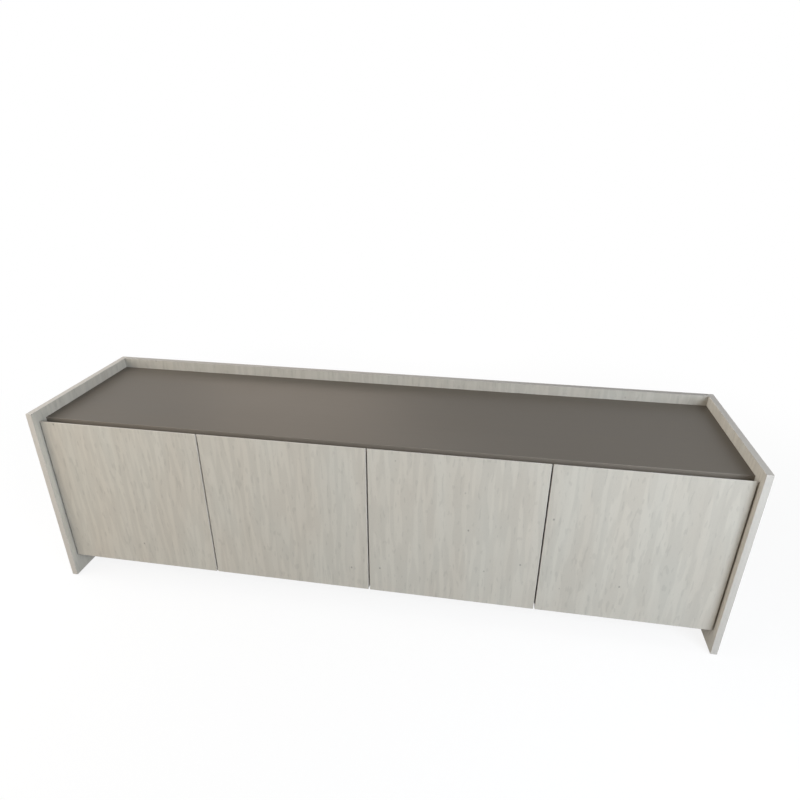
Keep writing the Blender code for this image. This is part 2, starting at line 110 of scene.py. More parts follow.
# %% Wrap a socket
class Wire:
    """One socket of a material, used like a number: each operator adds a Math node and gives its output."""

    def __init__(self, tree, socket=None):
        self.tree = tree
        self.socket = socket

    def node(self, kind, settings, inputs, output=0):
        """Adds a node: its settings first, then its inputs by name or number. Gives one of its outputs."""
        made = self.tree.nodes.new(kind)
        for name, value in settings.items():
            setattr(made, name, value)
        for name, value in inputs.items():
            if isinstance(value, Wire):
                self.tree.links.new(value.socket, made.inputs[name])
            else:
                made.inputs[name].default_value = value
        return Wire(self.tree, made.outputs[output])

    def twin(self, output):
        """Another output of the node that this socket belongs to."""
        return Wire(self.tree, self.socket.node.outputs[output])

    def math(self, operation, *values):
        """One operation on numbers or sockets."""
        return self.node("ShaderNodeMath", {"operation": operation}, dict(enumerate(values)))

    def vector(self, operation, *values):
        """The same on vectors, for X, Y and Z alike."""
        return self.node("ShaderNodeVectorMath", {"operation": operation}, dict(enumerate(values)))

    def __add__(self, other):
        return self.math("ADD", self, other)

    def __sub__(self, other):
        return self.math("SUBTRACT", self, other)

    def __rsub__(self, other):
        return self.math("SUBTRACT", other, self)

    def __mul__(self, other):
        return self.math("MULTIPLY", self, other)

    def __abs__(self):
        return self.math("ABSOLUTE", self)

    __radd__ = __add__
    __rmul__ = __mul__

    def least(self, other):
        return self.math("MINIMUM", self, other)

    def most(self, other):
        return self.math("MAXIMUM", self, other)

    def step(self, start, end):
        """0 up to start, 1 from end on, and a smooth rise between them."""
        inputs = {"Value": self, "From Min": start, "From Max": end}
        return self.node("ShaderNodeMapRange", {"interpolation_type": "SMOOTHSTEP"}, inputs)

    def mix(self, first, second):
        """The first colour where this value is 0, the second where it is 1."""
        return self.node("ShaderNodeMix", {"data_type": "RGBA"}, {0: self, 6: first, 7: second}, 2)

    def times(self, amount):
        """A colour or a vector, scaled by a value."""
        return self.node("ShaderNodeVectorMath", {"operation": "SCALE"}, {0: self, "Scale": amount})

    def axis(self, letter):
        """The X, Y or Z of a vector."""
        return self.node("ShaderNodeSeparateXYZ", {}, {0: self}, letter)


print("a socket can now be added, subtracted, multiplied, stepped and mixed")

# %% [markdown]
# ## Starting a finish
#
# A finish starts from Blender's Principled shader. What is the same all over a surface is a number on the
# shader's own socket; what varies is worked out from Object coordinates, which are metres on the real
# cabinet, so a grain that is 12 mm wide can be written as 0.012.

# %% Start a finish
def colour(red, green, blue):
    """The shares of red, green and blue light that a surface throws back, fully opaque."""
    return (red, green, blue, 1.0)


def new_finish(name, **numbers):
    """An empty material, its shader, and the place of each point in metres."""
    material = bpy.data.materials.new(name)
    material.use_nodes = True
    shader = material.node_tree.nodes["Principled BSDF"]
    for socket, value in numbers.items():
        shader.inputs[socket.replace("_", " ")].default_value = value
    place = Wire(material.node_tree).node("ShaderNodeTexCoord", {}, {}, "Object")
    return material, shader, place


def feed(shader, **wires):
    """Links each wire to the shader's socket of that name."""
    for socket, wire in wires.items():
        wire.tree.links.new(wire.socket, shader.inputs[socket.replace("_", " ")])


def noise(place, blob, detail=0.0):
    """A cloud from 0 to 1 whose blobs measure about blob metres along X, Y and Z."""
    scaled = place.vector("DIVIDE", place, blob)
    return place.node("ShaderNodeTexNoise", {}, {"Vector": scaled, "Scale": 1.0, "Detail": detail})


def bump(height, strength, distance):
    """Shades the surface as if it rose by a distance, in metres, where height goes from 0 to 1."""
    inputs = {"Height": height, "Strength": strength, "Distance": distance}
    return height.node("ShaderNodeBump", {}, inputs)


def dress(node, material):
    """Puts a finish on a solid."""
    frame["nodes"][node].material_slots[0].material = material


print("a finish can now be started, fed and put on a solid")

# %% [markdown]
# ## Edge bands
#
# A board of this kind is chipboard between two printed faces, and its narrow edges are closed with a glued
# band about a millimetre thick. Seen close, the band is a shade lighter than the print and a hairline shows
# where they meet. One could model the band as a separate strip, but it lies flush, so it belongs in the
# finish: the distance of a point from the board's nearest edge says whether it is band, joint or face.

# %% Find the edges of a board
BAND = 0.0010
JOINT = 0.00012
X, Y, Z = range(3)


def edge_distance(place, low, high, thickness_axis):
    """How far each point lies from the nearest of a board's four narrow edges."""
    distances = [
        (place.axis("XYZ"[axis]) - low[axis]).least(high[axis] - place.axis("XYZ"[axis]))
        for axis in (X, Y, Z)
        if axis != thickness_axis
    ]
    return distances[0].least(distances[1])


def edge_band(distance):
    """1 on the band and 0 on the face, and 1 only on the hairline where they meet."""
    band = 1 - distance.step(BAND - JOINT, BAND + JOINT)
    joint = 1 - abs(distance - BAND).step(JOINT, 2 * JOINT)
    return band, joint


print(f"edge band {1000 * BAND:.1f} mm wide, joint {1000 * JOINT:.2f} mm")

# %% [markdown]
# ## Whitewashed wood
#
# The doors, the side panels and the upstand carry a pale wood print, as if lime had been rubbed into oak
# and wiped off again. Its contrast is low: broad staves and soft strokes a centimetre wide run up the
# board, short dashes, fine fibres and open pores run with them, and here and there sits a small dark fleck.
# One could paint such a print as a picture, but all of these are the same kind of cloud, stretched along
# the grain by different amounts. A slow drift bends them, because no tree grows straight, and every board
# takes its print from another place on the roll. The upstand's colour also carries a painted shade that
# darkens it.

# %% Whitewashed wood on doors, sides and upstand
WASH_WARM = colour(0.596, 0.549, 0.472)
WASH_COOL = colour(0.563, 0.550, 0.490)
WASH_BAND = colour(0.598, 0.568, 0.518)
BOARD_SHIFT = Vector((1.37, 0.73, 0.41))
# Painted shade: the upstand's colour is multiplied by this, so it is darker than the other boards, standing
# in for shade on it
UPSTAND_PAINTED_SHADE = 0.75
# How large each kind of mark is, in metres: two ways across the grain, then along it
GRAIN_DRIFT = (0.16, 0.16, 0.50)
GRAIN_SWAY = (0.008, 0.008, 0.0)
GRAIN_CLOUD = (0.070, 0.070, 0.300)
GRAIN_STAVE = (0.022, 0.022, 0.900)
GRAIN_STROKE = (0.013, 0.013, 0.120)
GRAIN_DASH = (0.007, 0.007, 0.030)
GRAIN_FIBRE = (0.0018, 0.0018, 0.0400)
GRAIN_PORE = (0.0007, 0.0007, 0.0100)
FLECK_CELL = (0.050, 0.050, 0.070)


def whitewashed_wood(node, thickness_axis, number, painted_shade):
    """One board's print: warm and cool lime, times one plus clouds, staves, strokes and fibres, minus
    dashes, pores, flecks and the joint of the edge band."""
    material, shader, place = new_finish(f"whitewashed_{node}", IOR=1.45)
    roll = place.vector("ADD", place, BOARD_SHIFT * number)
    drift = noise(roll, GRAIN_DRIFT).twin("Color")
    grain = place.vector("MULTIPLY_ADD", drift, GRAIN_SWAY, roll)
    cloud = noise(grain, GRAIN_CLOUD, detail=1.0)
    stave = noise(grain, GRAIN_STAVE).step(0.42, 0.58)
    stroke = noise(grain, GRAIN_STROKE).step(0.46, 0.60)
    dash = noise(grain, GRAIN_DASH).step(0.66, 0.74)
    fibre = noise(grain, GRAIN_FIBRE, detail=2.0)
    pores = noise(grain, GRAIN_PORE).step(0.64, 0.72)
    cells = place.vector("DIVIDE", grain, FLECK_CELL)
    knot = place.node("ShaderNodeTexVoronoi", {}, {"Vector": cells, "Scale": 1.0}, "Distance")
    fleck = (1 - knot.step(0.030, 0.070)) * knot.twin("Color").axis("X").step(0.50, 0.80)
    band, joint = edge_band(edge_distance(place, *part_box(node), thickness_axis))
    soft = 0.075 * (cloud - 0.5) + 0.030 * (stave - 0.5) + 0.03 * (fibre - 0.5)
    figure = soft + 0.067 * (stroke - 0.5) - 0.080 * dash
    shade = 1.0 + figure * (1 - 0.6 * band) - 0.05 * pores - 0.40 * fleck - 0.15 * joint
    lime = cloud.mix(WASH_WARM, WASH_COOL)
    # The colour is multiplied by the board's painted shade, which is below 1 only on the upstand
    feed(
        shader,
        Base_Color=band.mix(lime, WASH_BAND).times(painted_shade * shade),
        Roughness=0.46 + 0.10 * fibre + 0.05 * stroke,
        Normal=bump(fibre - pores - 4.0 * joint, strength=0.25, distance=0.00012),
    )
    dress(node, material)


DOORS = ("left_outer_door", "left_inner_door", "right_inner_door", "right_outer_door")
washed_boards = {f"{door}_panel": Y for door in DOORS}
washed_boards |= {"left_side_panel": X, "right_side_panel": X, "back_upstand": Y}
# Painted shade on the upstand only; every other board keeps its own colour
painted_shades = {"back_upstand": UPSTAND_PAINTED_SHADE}
for number, (board, thickness_axis) in enumerate(washed_boards.items(), start=1):
    whitewashed_wood(board, thickness_axis, number, painted_shades.get(board, 1.0))
print("whitewashed boards:", len(washed_boards))

# %% [markdown]
# ## The taupe top
#
# The top is a plain matt laminate, brown-grey and a little satiny where light grazes it. A flat colour
# would look like paper, so it gets a fine speckle that also roughens the surface, a faint lengthwise figure
# and slow clouds, all of a few per cent.

# %% Taupe laminate on the top
TAUPE = colour(0.132, 0.115, 0.092)
# The top's edge band: partly the band's own colour, and partly a painted highlight that makes the edges,
# the front one above all, lighter than the face
TAUPE_BAND_AND_HIGHLIGHT = colour(0.192, 0.170, 0.142)
TAUPE_CLOUD = (0.20, 0.08, 0.10)
TAUPE_SPECKLE = (0.0011, 0.0011, 0.0011)
TAUPE_FIGURE = (0.30, 0.006, 0.05)


def taupe_laminate(node):
    """Brown-grey, times one plus clouds, speckle and lengthwise figure."""
    material, shader, place = new_finish(f"taupe_{node}", IOR=1.45, Specular_IOR_Level=0.35)
    cloud = noise(place, TAUPE_CLOUD, detail=1.0)
    speckle = noise(place, TAUPE_SPECKLE, detail=1.0)
    figure = noise(place, TAUPE_FIGURE, detail=2.0)
    band, joint = edge_band(edge_distance(place, *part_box(node), Z))
    shade = 1 + 0.14 * (cloud - 0.5) + 0.16 * (speckle - 0.5) + 0.08 * (figure - 0.5) - 0.2 * joint
    feed(
        shader,
        Base_Color=band.mix(TAUPE, TAUPE_BAND_AND_HIGHLIGHT).times(shade),
        Roughness=0.36 + 0.10 * speckle + 0.08 * cloud,
        Normal=bump(speckle, strength=0.18, distance=0.0001),
    )
    dress(node, material)


taupe_laminate("top_panel")
print("taupe top dressed")

# %% [markdown]
# ## Melamine inside
#
# Bottom, partition and shelves are the cheap white boards that such a cabinet hides behind its doors. Their
# faces are pressed with a pearl texture, tiny rounded grains that catch the light, and their front edges
# have the same kind of band as the doors.

# %% White melamine on the inner boards
MELAMINE = colour(0.640, 0.625, 0.590)
MELAMINE_BAND = colour(0.600, 0.585, 0.550)
MELAMINE_PEARL = (0.0016, 0.0016, 0.0016)
MELAMINE_CLOUD = (0.30, 0.30, 0.30)


def white_melamine(node, thickness_axis):
    """Warm white, times one plus slow clouds and pearl grains, with a slightly darker edge band."""
    material, shader, place = new_finish(f"melamine_{node}", IOR=1.48)
    pearl = noise(place, MELAMINE_PEARL, detail=1.0)
    cloud = noise(place, MELAMINE_CLOUD, detail=1.0)
    band, joint = edge_band(edge_distance(place, *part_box(node), thickness_axis))
    shade = 1 + 0.05 * (cloud - 0.5) + 0.05 * (pearl - 0.5) - 0.2 * joint
    feed(
        shader,
        Base_Color=band.mix(MELAMINE, MELAMINE_BAND).times(shade),
        Roughness=0.42 + 0.10 * pearl,
        Normal=bump(pearl - 4.0 * joint, strength=0.25, distance=0.00012),
    )
    dress(node, material)


inner_boards = {"bottom_panel": Z, "centre_partition": X, "left_shelf": Z, "right_shelf": Z}
for board, thickness_axis in inner_boards.items():
    white_melamine(board, thickness_axis)
print("melamine boards:", len(inner_boards))

# %% [markdown]
# ## Hardboard backs
#
# A back panel is 3 mm of pressed wood fibre. Its inner face is lacquered white, and its rear face stays raw
# and brown, with short fibres lying every way. Upright and level fibres alone would look like a woven
# cloth, so one stretched cloud is turned to four uneven angles, and the brightest of the four wins at each
# point. Which face a point belongs to follows from its depth in the panel.

# %% Hardboard on the backs
FIBRE_DARK = colour(0.190, 0.112, 0.062)
FIBRE_LIGHT = colour(0.345, 0.222, 0.128)
FIBRE_SIZE = (0.0009, 0.0009, 0.0075)
FIBRE_ANGLES = (0.3, 1.0, 1.9, 2.7)
FIBRE_CLUMP = (0.030, 0.030, 0.030)
LACQUER = colour(0.600, 0.585, 0.545)
LACQUER_FADE = (0.0003, 0.0005)


def matted_fibres(place):
    """The largest of four clouds, each stretched along its own direction in the panel."""
    ways = []
    for angle in FIBRE_ANGLES:
        inputs = {"Vector": place, "Angle": angle}
        turned_place = place.node("ShaderNodeVectorRotate", {"rotation_type": "Y_AXIS"}, inputs)
        ways.append(noise(turned_place, FIBRE_SIZE, detail=1.0))
    return ways[0].most(ways[1]).most(ways[2].most(ways[3]))


def hardboard(node):
    """Raw fibre on the rear face and the edges, white lacquer on the inner face."""
    material, shader, place = new_finish(f"hardboard_{node}", IOR=1.45)
    inner_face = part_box(node)[0].y
    fibres = matted_fibres(place)
    clump = noise(place, FIBRE_CLUMP, detail=3.0)
    inner = 1 - (place.axis("Y") - inner_face).step(*LACQUER_FADE)
    raw = (0.8 * fibres + 0.2 * clump).step(0.45, 0.75).mix(FIBRE_DARK, FIBRE_LIGHT)
    feed(
        shader,
        Base_Color=inner.mix(raw, LACQUER).times(1 + 0.30 * (clump - 0.5)),
        Roughness=0.72 - 0.25 * inner,
        Normal=bump(fibres * (1 - 0.8 * inner), strength=0.35, distance=0.0002),
    )
    dress(node, material)


HANDS = ("left", "right")
for hand in HANDS:
    hardboard(f"{hand}_back_panel")
print("hardboard backs:", len(HANDS))

# %% [markdown]
# ## Metals
#
# Hinge cups, arms and shelf pins are nickel-plated steel, drawn through tools that leave fine lines. Hinge
# plates and strike plates are zinc-plated: greyer, with the mottled crystals that zinc forms as it cools.
# A metal has no colour of its own apart from what it reflects, so most of the work is in its roughness.

# %% Nickel and zinc
NICKEL_PALE = colour(0.68, 0.665, 0.635)
NICKEL_DULL = colour(0.56, 0.545, 0.515)
ZINC_PALE = colour(0.58, 0.585, 0.59)
ZINC_DULL = colour(0.44, 0.445, 0.455)
NICKEL_LINES = (0.0003, 0.0003, 0.012)
NICKEL_SMUDGE = (0.012, 0.012, 0.012)
ZINC_CRYSTALS_PER_METRE = 320.0
ZINC_SCRATCH = (0.0004, 0.0004, 0.006)


def nickel_steel():
    """Fine drawn lines and slow smudges, in colour and in roughness."""
    material, shader, place = new_finish("nickel_steel", Metallic=1.0)
    lines = noise(place, NICKEL_LINES, detail=1.0)
    smudge = noise(place, NICKEL_SMUDGE, detail=2.0)
    feed(
        shader,
        Base_Color=smudge.step(0.3, 0.7).mix(NICKEL_PALE, NICKEL_DULL),
        Roughness=0.22 + 0.14 * lines + 0.10 * smudge,
    )
    return material


def zinc_plate():
    """Crystals a few millimetres wide, each with its own grey and its own roughness."""
    material, shader, place = new_finish("zinc_plate", Metallic=1.0)
    inputs = {"Vector": place, "Scale": ZINC_CRYSTALS_PER_METRE}
    cells = place.node("ShaderNodeTexVoronoi", {}, inputs, "Color").axis("X")
    scratch = noise(place, ZINC_SCRATCH, detail=1.0)
    feed(
        shader,
        Base_Color=cells.mix(ZINC_PALE, ZINC_DULL),
        Roughness=0.34 + 0.12 * cells + 0.10 * scratch,
    )
    return material


def dress_named(material, *words):
    """Dresses each solid whose name holds one of the words."""
    for node in frame["nodes"]:
        if any(word in node for word in words):
            dress(node, material)


NICKEL = nickel_steel()
ZINC = zinc_plate()
dress_named(NICKEL, "hinge_cup", "hinge_arm", "shelf_pin")
dress_named(ZINC, "hinge_plate", "strike")
print("metal finishes:", NICKEL.name, ZINC.name)

# %% [markdown]
# ## Moulded plastics
#
# Catches, glides, grommets and the leg under the middle are moulded in a steel form whose walls were etched
# with a fine grain, so the plastic doesn't show every fingerprint. The grain is a speckle a third of
# a millimetre wide that dents the surface, and a slow cloud keeps the gloss from looking even.

# %% Grey and black plastic
GREY_PALE = colour(0.33, 0.33, 0.32)
GREY_DARK = colour(0.27, 0.27, 0.265)
BLACK_PALE = colour(0.040, 0.040, 0.042)
BLACK_DARK = colour(0.022, 0.022, 0.023)
ETCHED_GRAIN = (0.00035, 0.00035, 0.00035)
PLASTIC_CLOUD = (0.02, 0.02, 0.02)


def moulded_plastic(name, pale, dark, roughness):
    """A mix of two near tones, with an etched grain in the surface."""
    material, shader, place = new_finish(name, IOR=1.49)
    grain = noise(place, ETCHED_GRAIN, detail=1.0)
    cloud = noise(place, PLASTIC_CLOUD, detail=2.0)
    feed(
        shader,
        Base_Color=(0.5 * cloud + 0.5 * grain).step(0.3, 0.7).mix(dark, pale),
        Roughness=roughness + 0.12 * cloud,
        Normal=bump(grain, strength=0.2, distance=0.00006),
    )
    return material


GREY_PLASTIC = moulded_plastic("grey_plastic", GREY_PALE, GREY_DARK, roughness=0.42)
BLACK_PLASTIC = moulded_plastic("black_plastic", BLACK_PALE, BLACK_DARK, roughness=0.38)
dress_named(GREY_PLASTIC, "catch", "glide")
dress_named(BLACK_PLASTIC, "grommet", "leg")
print("plastic finishes:", GREY_PLASTIC.name, BLACK_PLASTIC.name)

# %% [markdown]
# ## Surfaces from numpy
#
# The fittings are too fine for the solids: a screw's recess, a rolled lip, a pressed ear. Here each is
# a surface, a grid of points where one parameter runs along a profile and the other goes round an axis,
# an outline or a section. Cylinders and cubes could be pushed together instead, but on a grid an eased
# edge is only a few more points of the profile. Whole grids are worked out at once, with no loop over
# points.

# %% Make a piece from grids of points
MERGE = 1e-6
SHARP = math.radians(40.0)


def grid_faces(rows, columns):
    """Quads between neighbouring points. Columns close round; rows close where first and last agree."""
    row = np.arange(rows - 1)[:, None] * columns
    column = np.arange(columns)
    beside = (column + 1) % columns
    above = row + columns
    return np.stack([row + column, row + beside, above + beside, above + column], -1).reshape(-1, 4)


def add_piece(name, grids, body, material, replaced=()):
    """One object from grids, each copies x rows x columns x 3. Equal points, as at a pole, are merged."""
    points = []
    faces = []
    start = 0
    for grid in grids:
        rows, columns = grid.shape[-3:-1]
        copies = grid.reshape(-1, rows * columns, 3)
        first = start + rows * columns * np.arange(len(copies))
        points.append(copies.reshape(-1, 3))
        faces.append((grid_faces(rows, columns) + first[:, None, None]).reshape(-1, 4))
        start += copies.shape[0] * copies.shape[1]
    mesh = bpy.data.meshes.new(name)
    mesh.from_pydata(np.concatenate(points).tolist(), [], np.concatenate(faces).tolist())
    shape = bmesh.new()
    shape.from_mesh(mesh)
    bmesh.ops.remove_doubles(shape, verts=shape.verts, dist=MERGE)
    shape.to_mesh(mesh)
    shape.free()
    mesh.shade_smooth()
    mesh.set_sharp_from_angle(angle=SHARP)
    mesh.materials.append(material)
    piece = bpy.data.objects.new(name, mesh)
    bpy.context.scene.collection.objects.link(piece)
    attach(piece, body)
    if replaced:
        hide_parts(*replaced)
    print(f"{name}: {len(mesh.polygons)} faces on {body}")


print("three rings of four points have", len(grid_faces(rows=3, columns=4)), "faces between them")

# %% [markdown]
# ## Profiles, turning and placing
#
# Four small tools make every fitting. One eases the corners of a profile, as a press or a mould does. One
# turns a profile round an axis, as a lathe does. One closes a flat outline into a plate. The last sets
# copies of a grid down at given places, each facing a given way.

# %% Ease, turn, close and place
QUARTER_POINTS = 4


def towards(place, goal, distance):
    """Points that lie a distance from place towards goal, at most half way."""
    step = goal - place
    length = np.linalg.norm(step, axis=-1, keepdims=True)
    return place + step / length * np.minimum(distance, length / 2)


def eased(corners, radius, steps=5):
    """A profile with round corners: at corner p it follows (1-t)^2 a + 2t(1-t) p + t^2 b, a and b being
    the points a radius before and after p. Its two ends stay."""
    corners = np.array(corners, float)
    middle = corners[1:-1]
    distance = np.broadcast_to(radius, len(middle))[:, None]
    before = towards(middle, corners[:-2], distance)[:, None]
    after = towards(middle, corners[2:], distance)[:, None]
    t = np.linspace(0.0, 1.0, steps)[:, None]
    curve = (1 - t) ** 2 * before + 2 * t * (1 - t) * middle[:, None] + t ** 2 * after
    return np.concatenate([corners[:1], curve.reshape(-1, corners.shape[1]), corners[-1:]])


def turned(profile, columns=48):
    """A profile of (radius, height) carried round Z: x = r cos a, y = r sin a, z = h."""
    angle = np.linspace(0.0, 2 * np.pi, columns, endpoint=False)
    radius, height = np.array(profile, float).T[:, :, None]
    return np.stack([radius * np.cos(angle), radius * np.sin(angle), height + 0 * angle], -1)


def outline(width, length, corner):
    """A rectangle with round corners, anticlockwise from the middle of its right side."""
    x, y = width / 2, length / 2
    return eased([(x, 0), (x, y), (-x, y), (-x, -y), (x, -y), (x, 0)], corner)[:-1]


def plate(width, length, height, corner, edge):
    """A plate: its outline stands up, turns in on a quarter circle at the edge and closes on top."""
    turn = np.linspace(0.0, np.pi / 2, QUARTER_POINTS)
    inset = np.concatenate([[0, 0], edge * (1 - np.cos(turn)), [edge]])
    level = np.concatenate([[0, 0], height - edge + edge * np.sin(turn), [height]])
    rows = [outline(width - 2 * step, length - 2 * step, corner - step) for step in inset]
    flat = np.stack(rows)
    flat[[0, -1]] = 0.0
    return np.concatenate([flat, np.broadcast_to(level[:, None, None], (*flat.shape[:2], 1))], -1)


def placed(grid, places, facing):
    """Copies of a grid: its Z turns to the facing direction and its origin goes to each place."""
    places = np.array(places, float).reshape(-1, 3)
    facing = np.array(facing, float)
    helper = np.array((1.0, 0.0, 0.0) if abs(facing[2]) > 0.5 else (0.0, 0.0, 1.0))
    side = np.cross(helper, facing)
    turned_grid = grid @ np.stack([side, np.cross(facing, side), facing])
    return turned_grid + places[:, None, None]


def middle_of(node):
    """The middle of a solid's box."""
    low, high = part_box(node)
    return (low + high) / 2


sample = plate(width=0.02, length=0.01, height=0.002, corner=0.002, edge=0.0005)
print("a plate has", sample.shape[0], "rings of", sample.shape[1], "points")

# %% [markdown]
# ## Screws
#
# A cross-head screw is a low dome with two crossed slots pressed into it. One could cut the slots with a
# boolean, which leaves a ragged mesh. Here the head is a height over a disc: the dome falls off with the
# square of the radius, and wherever a point is close to one of the two bars it is pushed down.

# %% The head of a screw
# Shares of the head's radius: the rings, and where the slots' sides and ends start and stop rising
SCREW_RINGS = np.array(
    [0.0, 1.0, 1.0, 0.97, 0.90, 0.80, 0.72, 0.66, 0.60, 0.54, 0.44, 0.34, 0.24, 0.14, 0.06, 0.0]
)
SLOT_SIDE = (0.09, 0.17)
SLOT_END = (0.54, 0.66)
# Shares of the head's height
SCREW_EDGE = 0.35
SLOT_DEPTH = 0.62


def ease(value, start, end):
    """0 up to start, 1 from end on, and a smooth rise 3t^2 - 2t^3 between them."""
    t = np.clip((value - start) / (end - start), 0.0, 1.0)
    return t * t * (3 - 2 * t)


def screw_head(radius, height, columns=40):
    """Height = edge + dome (1 - r^2) - depth * cross. The cross is 1 where the smaller of |x| and |y| is
    less than the bar's half width and r is less than its reach. The first two rings are the underside."""
    grid = turned(np.stack([SCREW_RINGS, 0 * SCREW_RINGS], -1), columns)
    bar = 1 - ease(np.abs(grid[..., :2]).min(-1), *SLOT_SIDE)
    cross = bar * (1 - ease(SCREW_RINGS, *SLOT_END)[:, None])
    dome = SCREW_EDGE + (1 - SCREW_EDGE) * (1 - SCREW_RINGS ** 2)
    grid[2:, :, 2] = dome[2:, None] - SLOT_DEPTH * cross[2:]
    return grid * (radius, radius, height)


sample = screw_head(radius=1.0, height=0.4)
print("a screw head has", sample.shape[0], "rings of", sample.shape[1], "points")

# %% [markdown]
# ## Hinges
#
# Each door hangs on two cup hinges. The cup is drawn from sheet into a bore in the door, with a rolled rim
# and two ears for screws. An arm comes out of it round a pin and lies on a plate screwed to the carcass.
# The solids give the pin, the cup's size and the way of the arm; here these get the rims, ears and eased
# bends of pressed sheet. Cups ride on their door, arms and plates stay on the cabinet.

# %% Hinge cups with their pins and screws
CUP_WALL = 0.0008
RIM_WIDTH = 0.0021
RIM_THICKNESS = 0.0012
CUP_RADII = (0.0015, 0.0001, 0.0003, 0.0006, 0.0006, 0.0010)
EAR_SIZE = 0.0130
EAR_THICKNESS = 0.0010
EAR_EDGE = 0.0003
PIN_RADIUS = 0.00125
PIN_EDGE = 0.0002
CUP_SCREW = screw_head(radius=0.0034, height=0.0011)
NORTH = np.array((0.0, 1.0, 0.0))
UP = np.array((0.0, 0.0, 1.0))
LEVELS = ("lower", "upper")
hinge_axis = {joint["child"]: np.array(joint["pos_m"]) for joint in frame["joints"]}


def cup_grids(node, axis):
    """A turned cup with a rolled rim, two round ears under it, the pin across it, a screw on each ear."""
    low, high = (np.array(corner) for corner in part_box(node))
    centre = (low + high) / 2
    mouth = centre + NORTH * (high[1] - centre[1])
    rim = (high[0] - low[0]) / 2
    wall = rim - RIM_WIDTH
    bore = wall - CUP_WALL
    depth = low[1] - high[1]
    corners = [
        (0, depth), (wall, depth), (wall, -RIM_THICKNESS), (rim, -RIM_THICKNESS),
        (rim, 0), (bore, 0), (bore, depth + CUP_WALL), (0, depth + CUP_WALL),
    ]
    cup = turned(eased(corners, CUP_RADII), columns=64)
    ear = plate(EAR_SIZE, EAR_SIZE, EAR_THICKNESS, corner=EAR_SIZE / 2, edge=EAR_EDGE)
    reach = (high[2] - low[2] - EAR_SIZE) / 2
    ears = mouth - NORTH * RIM_THICKNESS + np.outer((-reach, reach), UP)
    half = math.sqrt(bore ** 2 - (axis[0] - centre[0]) ** 2) + CUP_WALL / 2
    rod = [(0, -half), (PIN_RADIUS, -half), (PIN_RADIUS, half), (0, half)]
    pin = turned(eased(rod, PIN_EDGE), columns=24)
    return [
        placed(cup, mouth, NORTH),
        placed(ear, ears, NORTH),
        placed(CUP_SCREW, ears + NORTH * EAR_THICKNESS, NORTH),
        placed(pin, (axis[0], axis[1], centre[2]), UP),
    ]


for door in DOORS:
    cups = [f"{door}_{level}_hinge_cup" for level in LEVELS]
    grids = [grid for cup in cups for grid in cup_grids(cup, hinge_axis[door])]
    add_piece(f"{door}_hinge_cups", grids, door, NICKEL, cups)

# %% [markdown]
# An arm is one strip of thick sheet, bent round the door's edge: out of the cup, back over the gap and
# along the plate. So it is a section carried along a path, and the bends are the eased corners of that
# path. At its start the sheet is rolled round the pin.

# %% Hinge arms along their path
ARM_THICKNESS = 0.0030
ARM_BEND = 0.0030
ARM_EDGE = 0.0006
PLATE_SETBACK = 0.0060
FIT = 0.0003
KNUCKLE_RADIUS = 0.00279
KNUCKLE_BORE = 0.00155
KNUCKLE_EDGE = 0.0003
ARM_SCREW = screw_head(radius=0.0030, height=0.0011)
ARM_SCREW_SHARES = (0.22, 0.72)


def swept(path, section):
    """A section carried along a level path: place = path + u * left + v * up. Each end closes on its
    middle."""
    way = np.gradient(path, axis=0)
    way /= np.linalg.norm(way, axis=1, keepdims=True)
    left = np.stack([-way[:, 1], way[:, 0]], -1)
    level = path[:, None] + section[:, :1] * left[:, None]
    rise = np.broadcast_to(section[:, 1:], (*level.shape[:2], 1))
    grid = np.concatenate([level, rise], -1)
    ends = np.broadcast_to(grid[[0, -1]].mean(1, keepdims=True), (2, *grid.shape[1:]))
    return np.concatenate([ends[:1], grid, ends[1:]])


def bay_side(node, axis):
    """+1 where a hinge reaches towards +X from its pin, -1 where it reaches the other way."""
    return math.copysign(1.0, middle_of(node).x - axis[0])


def arm_grids(door, level):
    """The strip from the pin to the tail, its knuckle round the pin, and two screws on the tail."""
    axis = hinge_axis[door]
    side = bay_side(f"{door}_{level}_hinge_cup", axis)
    low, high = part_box(f"{door}_{level}_hinge_arm")
    plate_low, plate_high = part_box(f"{door}_{level}_hinge_plate")
    half = ARM_THICKNESS / 2
    leg = (high.x if side > 0 else low.x) - side * half
    tail = (plate_high.x if side > 0 else plate_low.x) + side * (FIT + half)
    cross = plate_low.y - PLATE_SETBACK
    start = axis[0] + side * (KNUCKLE_BORE + KNUCKLE_RADIUS) / 2
    turns = [(start, axis[1]), (leg, axis[1]), (leg, cross), (tail, cross), (tail, high.y)]
    section = outline(ARM_THICKNESS, high.z - low.z, ARM_EDGE)
    height = (low.z + high.z) / 2
    rise = (high.z - low.z) / 2
    ring = [
        (KNUCKLE_BORE, -rise), (KNUCKLE_RADIUS, -rise), (KNUCKLE_RADIUS, rise), (KNUCKLE_BORE, rise),
    ]
    knuckle = turned(eased([*ring, ring[0]], KNUCKLE_EDGE), columns=32)
    depths = plate_low.y + np.array(ARM_SCREW_SHARES) * (plate_high.y - plate_low.y)
    screws = [(tail + side * half, depth, height) for depth in depths]
    return [
        swept(eased(turns, ARM_BEND, steps=7), section) + UP * height,
        placed(knuckle, (axis[0], axis[1], height), UP),
        placed(ARM_SCREW, screws, (side, 0.0, 0.0)),
    ]


for door in DOORS:
    arms = [f"{door}_{level}_hinge_arm" for level in LEVELS]
    grids = [grid for level in LEVELS for grid in arm_grids(door, level)]
    add_piece(f"{door}_hinge_arms", grids, "cabinet", NICKEL, arms)

# %% [markdown]
# A hinge plate is a die-cast cross: a raised rib that guides the arm, and two flat wings above and below
# it, each held by one screw. Both are plates with eased edges, one standing in the other.

# %% Hinge plates with their screws
WING_WIDTH = 0.0160
WING_THICKNESS = 0.0025
WING_CORNER = 0.0060
WING_EDGE = 0.0007
RIB_WIDTH = 0.0120
RIB_CORNER = 0.0030
RIB_EDGE = 0.0010
PLATE_SCREW = screw_head(radius=0.0036, height=0.0014)
PLATE_SCREW_REACH = 0.0160


